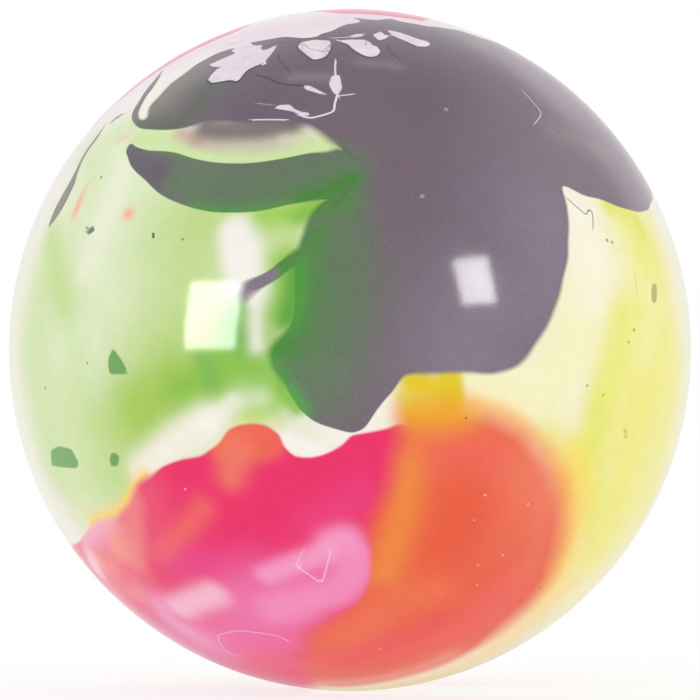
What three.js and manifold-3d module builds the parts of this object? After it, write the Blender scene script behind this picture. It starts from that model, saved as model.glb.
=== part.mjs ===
// A field hockey ball, in millimetres: +Z up, origin at the ball's centre, front face towards -Y.
// A light cork core sits in two plain half cups. Round them goes the cover, a pale shell whose
// coloured charges run through its whole thickness and lie flush with its polished outside.
import * as THREE from "three";
import { mergeVertices } from "three/addons/utils/BufferGeometryUtils.js";
import Module from "manifold-3d";

const wasm = await Module();
wasm.setup();

// Driving dimensions
const BALL_DIAMETER = 73.0;
const COVER_WALL = 4.5;
const CUP_WALL = 3.5;
const LIP_HEIGHT = 3.0; // how far the lower cup's lip rises into the upper cup
const CLEARANCE = 0.3; // between any two pieces that touch

// Facets: edges along each side of a round face's 20 base triangles, outside the cover and inside
// it, steps round the cups' lip, and the pitch of the points along a charge's outline
const OUTSIDE_EDGES = 8;
const INSIDE_EDGES = 6;
const LIP_STEPS = 48;
const OUTLINE_PITCH = 3.0;

// Radii from the outside in
const ballRadius = BALL_DIAMETER / 2;
const coverInside = ballRadius - COVER_WALL;
const cupOutside = coverInside - CLEARANCE;
const cupInside = cupOutside - CUP_WALL;
const lipRadius = cupInside + CUP_WALL / 2;
const coreRadius = cupInside - CLEARANCE;

// A charge is cut by a cone from near the centre to outside the ball. Its ends are flat, at
// these distances along the charge's middle direction.
const coneStart = coverInside / 10;
const coneEnd = ballRadius + COVER_WALL;

// Each charge's outline, as degrees [right of the front face, above the equator]
const charges = [
  {
    name: "charge_grey",
    colour: 0x7c7078,
    outline: [
      [-55, 41], [-36, 41], [-14, 41], [-4, 37], [-17, 33], [-32, 33], [-54, 37], [-49, 32],
      [-39, 28], [-20, 24], [-7, 26], [-2, 20], [-3, 12], [-5, 2], [-8, -6], [-4, -10], [1, -12],
      [6, -8], [11, -4], [20, -4], [30, -2], [36, 4], [41, 12], [42, 19], [44, 28], [55, 27],
      [70, 23], [84, 27], [98, 34], [108, 48], [100, 62], [76, 70], [40, 73], [0, 73], [-14, 68],
      [-39, 66], [-56, 56], [-61, 47],
    ],
  },
  {
    name: "charge_green",
    colour: 0xb9dc8a,
    outline: [
      [-64, 19], [-52, 26], [-37, 23], [-22, 19], [-8, 20], [-6, 12], [-9, 2], [-12, -6], [-17, -11],
      [-27, -14], [-41, -17], [-56, -23], [-70, -20], [-77, -8], [-78, 7],
    ],
  },
  {
    name: "charge_magenta",
    colour: 0xec3b86,
    outline: [
      [-72, -34], [-60, -31], [-49, -29], [-42, -23], [-27, -18], [-16, -16], [-4, -19], [3, -17],
      [6, -20], [4, -30], [0, -42], [-8, -58], [-24, -72], [-60, -78], [-98, -70], [-96, -54],
      [-86, -41],
    ],
  },
  {
    name: "charge_orange",
    colour: 0xee6a50,
    outline: [
      [12, -8], [24, -11], [35, -15], [43, -21], [49, -29], [53, -42], [58, -54], [62, -66],
      [52, -78], [12, -79], [3, -66], [3, -52], [5, -38], [8, -26], [9, -15],
    ],
  },
  {
    name: "charge_lime",
    colour: 0xdcee84,
    outline: [
      [55, 23], [62, 20], [67, 12], [65, 0], [61, -14], [53, -23], [46, -17], [46, -8], [48, 2],
      [52, 12],
    ],
  },
  {
    name: "charge_pink_crown",
    colour: 0xf0588f,
    outline: [
      [-90, 36], [-87, 52], [-77, 66], [-50, 77], [0, 82], [60, 80], [120, 75], [152, 65],
      [178, 54], [-152, 46], [-120, 36],
    ],
  },
  {
    name: "charge_green_rear",
    colour: 0x8fc76a,
    outline: [
      [-108, 14], [-122, 24], [-148, 28], [-168, 18], [-172, 0], [-158, -16], [-136, -24],
      [-116, -18], [-104, -4],
    ],
  },
  {
    name: "charge_grey_rear",
    colour: 0x857982,
    outline: [
      [112, 18], [128, 26], [150, 30], [172, 22], [178, 6], [160, -6], [150, -22], [132, -28],
      [118, -16], [108, 0],
    ],
  },
  {
    name: "charge_orange_rear",
    colour: 0xef7f4e,
    outline: [
      [-168, -26], [-140, -38], [-128, -54], [-160, -68], [150, -66], [122, -52], [128, -40],
      [156, -34], [176, -24],
    ],
  },
];

const ball = new THREE.Group();
ball.name = "field_hockey_ball";

function addPiece(name, solid, colour, roughness) {
  const material = new THREE.MeshStandardMaterial({ color: colour, roughness, metalness: 0 });
  const piece = new THREE.Mesh(toGeometry(solid), material);
  piece.name = name;
  ball.add(piece);
}

// A closed geometry as a solid: shared points are merged and flat slivers at a pole dropped.
function toSolid(geometry) {
  const bare = geometry.clone();
  bare.deleteAttribute("normal");
  bare.deleteAttribute("uv");
  const merged = mergeVertices(bare);
  const corners = merged.index.array;
  const kept = [];
  for (let i = 0; i < corners.length; i += 3) {
    const [a, b, c] = corners.slice(i, i + 3);
    if (a !== b && b !== c && c !== a) kept.push(a, b, c);
  }
  const vertProperties = new Float32Array(merged.attributes.position.array);
  const triVerts = new Uint32Array(kept);
  return new wasm.Manifold(new wasm.Mesh({ numProp: 3, vertProperties, triVerts }));
}

function toGeometry(solid) {
  const mesh = solid.getMesh();
  const geometry = new THREE.BufferGeometry();
  geometry.setAttribute("position", new THREE.BufferAttribute(mesh.vertProperties, 3));
  geometry.setIndex(new THREE.BufferAttribute(mesh.triVerts, 1));
  geometry.computeVertexNormals();
  return geometry;
}

// A unit direction from degrees right of the front face and degrees above the equator
function direction([right, up]) {
  const turn = THREE.MathUtils.degToRad(right);
  const rise = THREE.MathUtils.degToRad(up);
  const level = Math.cos(rise);
  return new THREE.Vector3(Math.sin(turn) * level, -Math.cos(turn) * level, Math.sin(rise));
}

function middleOf(outline) {
  return outline.reduce((sum, point) => sum.add(point), new THREE.Vector3()).normalize();
}

// A closed smooth outline through the given points, as unit directions that run anticlockwise
// when seen from outside the ball
function smoothOutline(points) {
  const curve = new THREE.CatmullRomCurve3(points.map(direction), true, "centripetal");
  const steps = Math.round((curve.getLength() * ballRadius) / OUTLINE_PITCH);
  const outline = curve.getSpacedPoints(steps).slice(0, -1).map((point) => point.normalize());
  const middle = middleOf(outline);
  const winding = outline.reduce((sum, point, i) => {
    const next = outline[(i + 1) % outline.length];
    return sum + point.clone().cross(next).dot(middle);
  }, 0);
  return winding > 0 ? outline : outline.reverse();
}

// Moves each point of an outline along the ball, square to the outline and towards its inside.
function drawnIn(outline, angle) {
  const count = outline.length;
  return outline.map((point, i) => {
    const along = outline[(i + 1) % count].clone().sub(outline[(i + count - 1) % count]);
    const inward = point.clone().cross(along).normalize();
    return point.clone().addScaledVector(inward, angle).normalize();
  });
}

// The cone over an outline, from the ball's middle, between two flat ends
function coneOver(outline) {
  const middle = middleOf(outline);
  const across = new THREE.Vector3(0, 0, 1).cross(middle).normalize();
  const upward = middle.clone().cross(across);
  const count = outline.length;
  const rays = outline.map((point) => point.clone().divideScalar(point.dot(middle)));
  const flat = rays.map((ray) => new THREE.Vector2(ray.dot(across), ray.dot(upward)));
  const places = [coneStart, coneEnd].flatMap((end) =>
    rays.flatMap((ray) => ray.clone().multiplyScalar(end).toArray()),
  );
  const corners = [];
  for (const [a, b, c] of THREE.ShapeUtils.triangulateShape(flat, [])) {
    corners.push(c, b, a, a + count, b + count, c + count);
  }
  for (let i = 0; i < count; i += 1) {
    const next = (i + 1) % count;
    corners.push(i, next, next + count, i, next + count, i + count);
  }
  const geometry = new THREE.BufferGeometry();
  geometry.setAttribute("position", new THREE.Float32BufferAttribute(places, 3));
  geometry.setIndex(corners);
  return toSolid(geometry);
}

function roundSolid(radius, edges) {
  return toSolid(new THREE.IcosahedronGeometry(radius, edges - 1));
}

// All that lies under the cups' parting face, which steps up by the lip's height inside the lip.
// The face is lowered, and the step drawn in, by a distance.
function underParting(distance) {
  const step = lipRadius - distance;
  const profile = [
    [0, -ballRadius],
    [ballRadius, -ballRadius],
    [ballRadius, -distance],
    [step, -distance],
    [step, LIP_HEIGHT - distance],
    [0, LIP_HEIGHT - distance],
  ];
  const points = profile.map(([out, height]) => new THREE.Vector2(out, height));
  return toSolid(new THREE.LatheGeometry(points, LIP_STEPS).rotateX(Math.PI / 2));
}

// Cork core
addPiece("cork_core", roundSolid(coreRadius, INSIDE_EDGES), 0xb98a5a, 0.9);

// Inner cups, split by a half-lap joint: the lower one's lip stands inside the upper one's rim
const cups = roundSolid(cupOutside, INSIDE_EDGES).subtract(roundSolid(cupInside, INSIDE_EDGES));
addPiece("inner_cup_lower", cups.intersect(underParting(CLEARANCE / 2)), 0xe9e6df, 0.5);
addPiece("inner_cup_upper", cups.subtract(underParting(-CLEARANCE / 2)), 0xe9e6df, 0.5);

// Cover: the shell is cut once for each charge, which is drawn in from the cut by the clearance
const shell = roundSolid(ballRadius, OUTSIDE_EDGES).subtract(roundSolid(coverInside, INSIDE_EDGES));
let coverBody = shell;
for (const { name, colour, outline } of charges) {
  const edge = smoothOutline(outline);
  const innerEdge = drawnIn(edge, CLEARANCE / coverInside);
  coverBody = coverBody.subtract(coneOver(edge));
  addPiece(name, shell.intersect(coneOver(innerEdge)), colour, 0.2);
}
addPiece("cover_body", coverBody, 0xefe9da, 0.2);

export default ball;
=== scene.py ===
import math

import bpy
import numpy as np
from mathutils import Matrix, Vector


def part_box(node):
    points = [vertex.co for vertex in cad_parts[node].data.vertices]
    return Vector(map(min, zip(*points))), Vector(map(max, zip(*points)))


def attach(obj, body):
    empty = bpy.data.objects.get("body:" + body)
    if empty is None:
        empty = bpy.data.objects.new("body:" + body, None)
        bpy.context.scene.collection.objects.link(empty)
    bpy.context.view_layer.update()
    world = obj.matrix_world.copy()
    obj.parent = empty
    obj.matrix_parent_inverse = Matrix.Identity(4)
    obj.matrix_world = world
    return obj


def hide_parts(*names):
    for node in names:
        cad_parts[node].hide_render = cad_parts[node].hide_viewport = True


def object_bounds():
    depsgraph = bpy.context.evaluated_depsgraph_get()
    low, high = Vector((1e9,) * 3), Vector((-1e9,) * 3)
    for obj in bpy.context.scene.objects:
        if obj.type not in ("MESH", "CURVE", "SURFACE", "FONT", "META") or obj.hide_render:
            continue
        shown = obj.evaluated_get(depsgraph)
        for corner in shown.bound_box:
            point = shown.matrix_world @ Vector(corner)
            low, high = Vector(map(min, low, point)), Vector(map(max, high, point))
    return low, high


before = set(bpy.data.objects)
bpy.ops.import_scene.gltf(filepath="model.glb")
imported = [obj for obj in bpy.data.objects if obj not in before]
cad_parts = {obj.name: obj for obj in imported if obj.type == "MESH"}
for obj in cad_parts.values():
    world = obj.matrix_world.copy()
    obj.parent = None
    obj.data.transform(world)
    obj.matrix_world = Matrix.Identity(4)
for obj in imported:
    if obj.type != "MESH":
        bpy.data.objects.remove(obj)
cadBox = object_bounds()
print("frame loaded:", len(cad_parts), "solids")

mm = 0.001
ballRadius = (cadBox[1].z - cadBox[0].z) / 2

# The picture is square and shows the ball's edge as a circle in its middle
picture = {
    "width": 700,
    "middle": (349.8, 349.8),  # the circle's middle, in pixels
    "ballEdge": 341.15,  # the circle's radius, in pixels
    "distance": 0.80,  # from the lens to the ball's centre
    "sensor": 0.036,
}
edgeRay = math.asin(ballRadius / picture["distance"])  # from the lens: ball's centre to its edge

# Colours as they look, red, green and blue in hexadecimal
palette = {
    "cream": "f1ecdd", "ivory": "f7f2d8", "milk": "f5efe9", "lilacWhite": "f1e3eb",
    "mint": "dbe8c4", "paleGreen": "cbdea2", "leafGreen": "bcd786", "grassGreen": "a2c64e",
    "springGreen": "86be44", "jadeGreen": "4fa55c", "limeGreen": "9ccc54", "deepGreen": "4c9c3c",
    "darkGreen": "42842f", "mossGreen": "528645", "chipGreen": "629e52", "darkChip": "55664a",
    "oliveChip": "a9ab62", "limeChip": "b9c95e", "gapLime": "cbe3a2", "lemon": "ece673",
    "paleLime": "e8e774", "brightLime": "dde05c", "butter": "f4f0bc", "yellow": "e2c81c",
    "oliveYellow": "bdb02a", "honey": "eda91e", "amber": "ef8f3a", "paleHoney": "fbd582",
    "sun": "fbd066", "magenta": "e92a66", "rose": "e95274", "peach": "f59e8a", "coral": "ef7662",
    "hotPink": "e6448c", "pink": "eb72aa", "palePink": "f6bbd0", "softPink": "f29cc6",
    "veilPink": "f18cba", "warmPink": "ee659e", "rimPink": "e673a0", "redPink": "ee5a7a",
    "orangeRed": "e7593c", "orange": "ed6f4a", "salmon": "f08a74", "redCoral": "ed5c55",
    "deepCoral": "e8504c", "lemonBright": "f1e466", "paleLilac": "e8d5e0", "salmonPink": "ef7f84",
    "rosyDot": "f6a392", "grey": "736470", "darkGrey": "635463", "midGrey": "857887",
    "lilacGrey": "a08c99", "warmGrey": "82727c", "olive": "7a7c70", "darkMoss": "55624f",
    "greenGrey": "64785e", "purpleGrey": "5e5660", "brownEdge": "8a6a50", "brownPink": "caaca2",
    # the dark shade of lines and specks also paints the shadows under the flakes
    # the flakes' pale shade is a painted reflection of light from above
    "brownGrey": "7f7170", "tan": "cdc3b0", "stone": "d9d4bb", "flakeWithReflection": "e8dae4", "ink": "3e343b",
    # the pale line shade also paints reflected window outlines
    "scratchAndReflectionWhite": "ece2e9",
}


def shadeOf(name):
    # written colour to light: the usual screen curve undone
    channels = np.array([int(palette[name][at:at + 2], 16) / 255 for at in (0, 2, 4)])
    return np.where(channels <= 0.04045, channels / 12.92, ((channels + 0.055) / 1.055) ** 2.4)


def onFace(pixels):
    # A pixel's ray meets the ball at asin(sin(ray) / sin(edge ray)) - ray from the front.
    # Past the ball's edge the place runs on over the rim, a quarter turn for each radius.
    offset = (np.array(pixels, float) - picture["middle"]) / picture["ballEdge"]
    reach = np.hypot(offset[:, 0], offset[:, 1])
    ray = np.arctan(np.minimum(reach, 1) * math.tan(edgeRay))
    bend = np.arcsin(np.minimum(np.sin(ray) / math.sin(edgeRay), 1)) - ray
    bend += np.maximum(reach - 1, 0) * math.pi / 2
    side = offset / np.maximum(reach, 1e-9)[:, None] * np.sin(bend)[:, None]
    return np.stack([side[:, 0], -np.cos(bend), -side[:, 1]], 1)


def onBall(degrees):
    # degrees right of the front and degrees up, as a direction from the ball's centre
    turn, rise = np.radians(np.array(degrees, float)).T
    return np.stack([np.sin(turn) * np.cos(rise), -np.cos(turn) * np.cos(rise), np.sin(rise)], 1)


def curveThrough(corners, closed, steps=5, pull=0.45):
    # a Catmull-Rom curve through directions, each point put back on the unit ball;
    # with a pull of 0 its steps are straight
    if len(corners) == 1:
        corners = np.repeat(corners, 2, 0)
    if closed:
        start, end, before, after = (np.roll(corners, shift, 0) for shift in (0, -1, 1, -2))
    else:
        padded = np.concatenate([corners[:1], corners, corners[-1:]])
        before, start, end, after = padded[:-3], padded[1:-2], padded[2:-1], padded[3:]
    t = (np.arange(steps) / steps)[None, :, None]
    leave, arrive = (end - before)[:, None] * pull, (after - start)[:, None] * pull
    start, end = start[:, None], end[:, None]
    points = (2 * t**3 - 3 * t**2 + 1) * start + (t**3 - 2 * t**2 + t) * leave
    points = points + (3 * t**2 - 2 * t**3) * end + (t**3 - t**2) * arrive
    points = np.concatenate([points.reshape(-1, 3), corners[:1] if closed else corners[-1:]])
    return points / np.linalg.norm(points, axis=1)[:, None]


def nearestTo(path, places):
    # least distance from each place to the path's short straight steps, in mm along the ball,
    # and the signed distance, positive on the left of the way the path runs
    least = np.full(len(places), np.inf)
    side = np.zeros(len(places))
    for start, step in zip(path[:-1], np.diff(path, axis=0)):
        length = max(step @ step, 1e-12)
        away = places - start
        along = np.clip(away @ step / length, 0, 1)
        left = away @ np.cross(start, step)
        away = away - along[:, None] * step
        away = np.einsum("ij,ij->i", away, away)
        closer = away < least
        least[closer] = away[closer]
        side[closer] = left[closer]
    scale = ballRadius / mm
    return np.sqrt(least) * scale, np.sqrt(least) * np.sign(side) * scale


def flatRound(middle, places):
    # each place laid flat round a middle direction, as far from it as the angle between them
    across = np.cross((0.0, 0.0, 1.0), middle)
    across /= np.linalg.norm(across)
    flat = np.stack([places @ across, places @ np.cross(middle, across)], 1)
    angle = np.arccos(np.clip(places @ middle, -1, 1))
    return flat * (angle / np.maximum(np.hypot(flat[:, 0], flat[:, 1]), 1e-9))[:, None]


def depthIn(outline, places, margin=6.0, pull=0.45):
    # signed distance to a closed outline in mm, positive inside: an even count of crossings is out
    path = curveThrough(outline, True, 5, pull)
    middle = path.mean(0) / np.linalg.norm(path.mean(0))
    widest = np.arccos(np.clip(path @ middle, -1, 1)).max() + margin * mm / ballRadius
    near = places @ middle > math.cos(min(widest, math.pi))
    depth = np.full(len(places), -margin)
    flat, ring = flatRound(middle, places[near]), flatRound(middle, path)
    inside = np.zeros(len(flat), bool)
    for (x0, y0), (x1, y1) in zip(ring[:-1], ring[1:]):
        if y0 != y1:
            level = (y0 > flat[:, 1]) != (y1 > flat[:, 1])
            inside ^= level & (flat[:, 0] < x0 + (flat[:, 1] - y0) * (x1 - x0) / (y1 - y0))
    away = nearestTo(path, places[near])[0]
    depth[near] = np.where(inside, away, -np.minimum(away, margin))
    return depth


def wobble(places, waves, reach, seed, count=10):
    # a smooth shift of every place: a sum of sine waves that run in random directions
    draw = np.random.default_rng(seed)
    shift = np.zeros_like(places)
    for _ in range(count):
        run = draw.normal(size=3)
        run *= waves * draw.uniform(0.6, 1.6) / np.linalg.norm(run)
        shift += np.outer(np.sin(places @ run + draw.uniform(0, 2 * math.pi)), draw.normal(size=3))
    moved = places + shift * reach * mm / ballRadius / math.sqrt(count)
    return moved / np.linalg.norm(moved, axis=1)[:, None]


# The cover: rings of a polar grid round the front-to-back axis, closer over the front half
cover = {
    "frontRings": 184,
    "backRings": 62,
    "turns": 400,
    "frontReach": 95.0,  # degrees from the front that the closer rings run to
    "crowding": 0.5,  # how much closer the turns are at the top
    "wall": 4.5,  # mm
    "innerRings": 20,
    "innerTurns": 48,
    "unevenness": 0.03,  # mm that hand polishing takes off, at most
    "unevenWaves": (5.0, 1.0, 21),  # waves round the ball, mm that they shift a place, seed
    "wander": (9.0, 0.35, 11),  # the same for the soft colours
    "edgeWander": (40.0, 0.10, 12),  # and for the sharp edges
}


def ringAngles():
    front = np.linspace(0, math.radians(cover["frontReach"]), cover["frontRings"] + 1)
    back = np.linspace(front[-1], math.pi, cover["backRings"] + 1)
    return np.concatenate([front[1:], back[1:-1]])


def roundRows(angles, turns, crowding):
    # direction at angle a from the front and turn t: (sin a cos t, -cos a, sin a sin t)
    even = np.arange(turns) * 2 * math.pi / turns
    turn = (even + crowding * np.cos(even))[None, :]
    angle = angles[:, None]
    level = -np.cos(angle) + 0 * turn
    return np.stack([np.sin(angle) * np.cos(turn), level, np.sin(angle) * np.sin(turn)], -1)


frontPole, backPole = np.array([[0.0, -1.0, 0.0]]), np.array([[0.0, 1.0, 0.0]])
coverRows = roundRows(ringAngles(), cover["turns"], cover["crowding"])
outward = np.concatenate([frontPole, coverRows.reshape(-1, 3), backPole])
softPlaces = wobble(outward, *cover["wander"])
edgePlaces = wobble(outward, *cover["edgeWander"])
print("cover grid:", len(outward), "places")

# Places on the front are in pixels, those of rear rows in degrees right of the front and up.
# A wash is (shade, width in mm, strength, firmness, places). An outline is (softness in mm, onFace
# or onBall, places), and a softer stretch of it (more softness in mm, reach in mm, places).
paleGround = {
    "fill": "cream",
    "washes": [
        ("lilacWhite", 7.0, 0.95, 2, [
            (70, 150), (115, 105), (160, 72), (215, 40), (280, 24), (340, 16),
        ]),
        ("paleLilac", 4.0, 1.0, 2, [(250, 35), (300, 27), (350, 19), (420, 20)]),
        ("paleLilac", 3.0, 0.80, 2, [(105, 112), (130, 90), (165, 66), (210, 44)]),
        ("paleGreen", 9.0, 0.85, 2, [(78, 250), (70, 330), (78, 420), (95, 480)]),
        ("paleGreen", 5.0, 0.95, 2, [(44, 290), (34, 350), (44, 410), (58, 474)]),
        ("paleGreen", 2.3, 0.90, 2, [(112, 138), (130, 125)]),
        ("paleGreen", 8.0, 0.95, 2, [(150, 225), (165, 300), (150, 380), (130, 440)]),
        ("leafGreen", 4.5, 0.70, 2, [(196, 225), (190, 290), (180, 340)]),
        ("mint", 4.5, 0.80, 2, [(105, 150), (120, 180), (112, 215)]),
        ("paleGreen", 3.0, 0.55, 2, [(88, 146), (98, 172)]),
        ("mint", 3.2, 0.60, 2, [(88, 240), (108, 285)]),
        ("leafGreen", 2.2, 0.80, 2, [(50, 236), (61, 285), (74, 332)]),
        ("cream", 2.0, 0.50, 2, [(124, 152), (116, 190), (100, 235), (88, 272)]),
        ("mint", 2.4, 0.60, 2, [(62, 345), (92, 330), (100, 385)]),
        ("leafGreen", 3.6, 0.70, 2, [(100, 425), (130, 440), (112, 470)]),
        ("grassGreen", 4.9, 0.95, 2, [(140, 408), (165, 392), (205, 378), (228, 350)]),
        ("springGreen", 2.4, 0.80, 2, [(180, 386), (208, 374), (240, 352)]),
        ("jadeGreen", 1.3, 0.45, 2, [(203, 356), (212, 378)]),
        ("springGreen", 4.0, 0.90, 2, [(232, 332), (255, 352), (268, 378)]),
        ("jadeGreen", 1.4, 0.55, 2, [(240, 298), (233, 318), (236, 338)]),
        ("milk", 1.0, 0.75, 2, [(263, 297), (258, 318), (257, 344)]),
        ("leafGreen", 4.0, 0.80, 2, [(205, 222), (270, 222), (288, 240)]),
        ("milk", 2.35, 1.0, 4, [(240, 236), (246, 268)]),
        ("milk", 0.9, 0.80, 3, [(256, 297), (270, 291)]),
        ("limeGreen", 2.2, 0.95, 3, [(288, 264), (291, 285), (285, 312)]),
        ("deepGreen", 1.5, 0.85, 2, [(297, 270), (294, 298), (288, 318)]),
        ("limeGreen", 1.7, 0.90, 2, [(268, 216), (290, 213), (312, 207)]),
        ("springGreen", 1.3, 0.90, 2, [(300, 216), (312, 209), (322, 203)]),
        ("cream", 2.3, 1.0, 3, [(142, 470), (178, 443), (206, 424)]),
        ("milk", 1.2, 0.75, 3, [(206, 424), (220, 413), (232, 404)]),
        ("limeGreen", 1.6, 0.75, 2, [(252, 414), (268, 404), (280, 392)]),
        ("mint", 1.2, 0.60, 2, [(240, 401), (258, 398)]),
        ("springGreen", 0.9, 0.90, 3, [(280, 384), (286, 396), (294, 408)]),
        ("lemon", 0.7, 0.30, 2, [(238, 422), (256, 419), (276, 424)]),
        ("milk", 0.9, 0.90, 3, [(284, 441), (300, 449), (314, 450)]),
        ("milk", 0.9, 0.90, 3, [(342, 434), (352, 430)]),
        ("sun", 0.9, 0.90, 2, [(92, 523), (116, 512), (126, 501), (133, 487), (143, 474)]),
        ("lilacWhite", 2.0, 0.35, 2, [(58, 500), (72, 528)]),
        ("rosyDot", 0.75, 0.95, 2, [(128, 213)]),
        ("rosyDot", 0.35, 0.50, 2, [(88, 184), (80, 205)]),
        ("rosyDot", 0.55, 0.90, 2, [(82, 198), (77, 212)]),
        ("rosyDot", 0.50, 0.45, 2, [(120, 139), (128, 135)]),
        # between the two arms
        ("gapLime", 2.2, 1.0, 3, [
            (138, 139), (165, 140), (200, 148), (250, 152), (300, 148), (330, 146),
        ]),
        ("tan", 1.7, 0.90, 2, [(212, 147), (250, 150), (284, 145)]),
        ("brownPink", 1.1, 0.90, 2, [(180, 134), (188, 140), (198, 146)]),
        ("brownGrey", 1.75, 1.0, 3, [(206, 130), (222, 132), (240, 131), (262, 130), (292, 125)]),
        ("stone", 0.9, 0.70, 2, [(288, 140), (312, 140)]),
        ("gapLime", 0.60, 0.95, 2, [(176, 152), (215, 160), (255, 160), (300, 152), (328, 147)]),
        ("gapLime", 0.80, 0.80, 2, [(306, 146), (326, 145)]),
        ("cream", 1.1, 0.95, 3, [(157, 84), (145, 100), (142, 114)]),
        # yellow side
        ("butter", 5.5, 0.85, 2, [(578, 320), (556, 376), (530, 394), (480, 388)]),
        ("lemon", 7.0, 0.95, 2, [(648, 250), (655, 340), (640, 420), (612, 510), (596, 550)]),
        ("lemon", 5.0, 0.75, 2, [(672, 370), (664, 430), (642, 500)]),
        ("brightLime", 1.9, 0.95, 4, [(610, 204), (630, 217), (640, 232)]),
        ("paleLime", 2.3, 0.85, 2, [(624, 226), (640, 262), (640, 300)]),
        ("butter", 2.2, 0.35, 2, [(622, 236), (628, 270)]),
        ("lemon", 3.5, 0.60, 2, [(636, 320), (626, 380), (608, 440)]),
        ("paleLime", 2.6, 0.88, 3, [(622, 322), (618, 345), (606, 390), (592, 435), (581, 465)]),
        ("brightLime", 1.6, 0.35, 2, [(602, 404), (594, 440), (586, 462)]),
        ("paleLime", 2.6, 0.80, 2, [(588, 470), (592, 520)]),
        ("butter", 2.4, 0.40, 2, [(642, 294), (652, 300), (646, 345)]),
        ("ivory", 2.5, 0.80, 2, [(580, 225), (592, 265), (588, 296)]),
        ("lemon", 5.0, 0.70, 2, [(652, 500), (612, 566), (566, 612)]),
        # glow round the orange
        ("paleHoney", 1.2, 0.80, 2, [(478, 404), (505, 414), (535, 436), (552, 456)]),
        ("lemonBright", 1.4, 0.90, 2, [(572, 450), (581, 468), (586, 500)]),
        ("lemon", 1.8, 0.60, 2, [(548, 432), (566, 446)]),
        ("sun", 2.7, 0.95, 2, [(560, 474), (566, 500), (567, 522), (559, 552), (543, 586)]),
        ("paleHoney", 4.0, 0.72, 2, [(545, 604), (508, 638), (462, 668), (420, 682)]),
        ("sun", 6.0, 0.90, 2, [(306, 694), (350, 698), (396, 692)]),
        ("oliveYellow", 1.3, 0.90, 2, [(404, 370), (424, 374)]),
        ("yellow", 1.4, 1.0, 6, [(452, 372), (452, 398)]),
        ("yellow", 1.5, 1.0, 3, [(414, 384), (440, 388), (450, 388)]),
        ("honey", 1.7, 0.90, 2, [(414, 410), (458, 411)]),
        ("yellow", 1.0, 0.75, 2, [(402, 397), (412, 400), (430, 399)]),
    ],
    "rearWashes": [
        ("paleGreen", 15.0, 0.90, 2, [(-112, 10), (-140, 4), (-166, 2)]),
        ("leafGreen", 6.0, 0.85, 2, [(-104, 16), (-124, 10), (-146, 6), (-168, 8)]),
        ("grassGreen", 3.6, 0.90, 2, [(-108, -2), (-124, -8), (-142, -10), (-160, -6)]),
        ("springGreen", 2.2, 0.80, 2, [(-120, -10), (-136, -14), (-152, -12)]),
        ("mint", 2.6, 0.75, 2, [(-114, 6), (-132, 0), (-150, -2)]),
        ("cream", 2.0, 0.90, 3, [(-128, 20), (-142, 14), (-156, 13), (-170, 17)]),
        ("limeGreen", 2.0, 0.80, 2, [(-138, 26), (-152, 22), (-168, 24)]),
        ("milk", 1.6, 0.85, 3, [(-146, -20), (-156, -18), (-164, -13)]),
        ("jadeGreen", 1.2, 0.40, 2, [(-130, -11), (-140, -12)]),
        ("mint", 6.0, 0.80, 2, [(-100, -20), (-112, -30), (-130, -32)]),
        ("lemon", 9.0, 0.85, 2, [(92, -10), (104, -22), (112, -40)]),
        ("paleLime", 4.0, 0.85, 2, [(98, 8), (104, -12), (116, -30)]),
        ("butter", 6.0, 0.80, 2, [(178, -14), (166, -16), (140, -32)]),
        ("lilacWhite", 8.0, 0.80, 2, [(-100, 28), (-135, 34), (-170, 36), (160, 40), (128, 38)]),
        ("leafGreen", 4.5, 0.70, 2, [(-94, -32), (-112, -25), (-130, -24)]),
        ("lemon", 4.0, 0.80, 2, [(154, -8), (166, -10), (178, -14)]),
        ("brightLime", 2.0, 0.80, 3, [(100, 14), (104, 0), (101, -18)]),
        ("ivory", 4.0, 0.80, 2, [(94, 22), (102, 20)]),
        ("rosyDot", 0.9, 0.90, 2, [(-117, 24)]),
        ("sun", 2.2, 0.90, 2, [(176, -25), (150, -34), (124, -41)]),
        ("paleHoney", 3.0, 0.85, 2, [(-168, -22), (-138, -34), (-124, -54)]),
        ("paleHoney", 3.0, 0.85, 2, [(176, -20), (150, -30), (118, -44)]),
    ],
}

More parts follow.
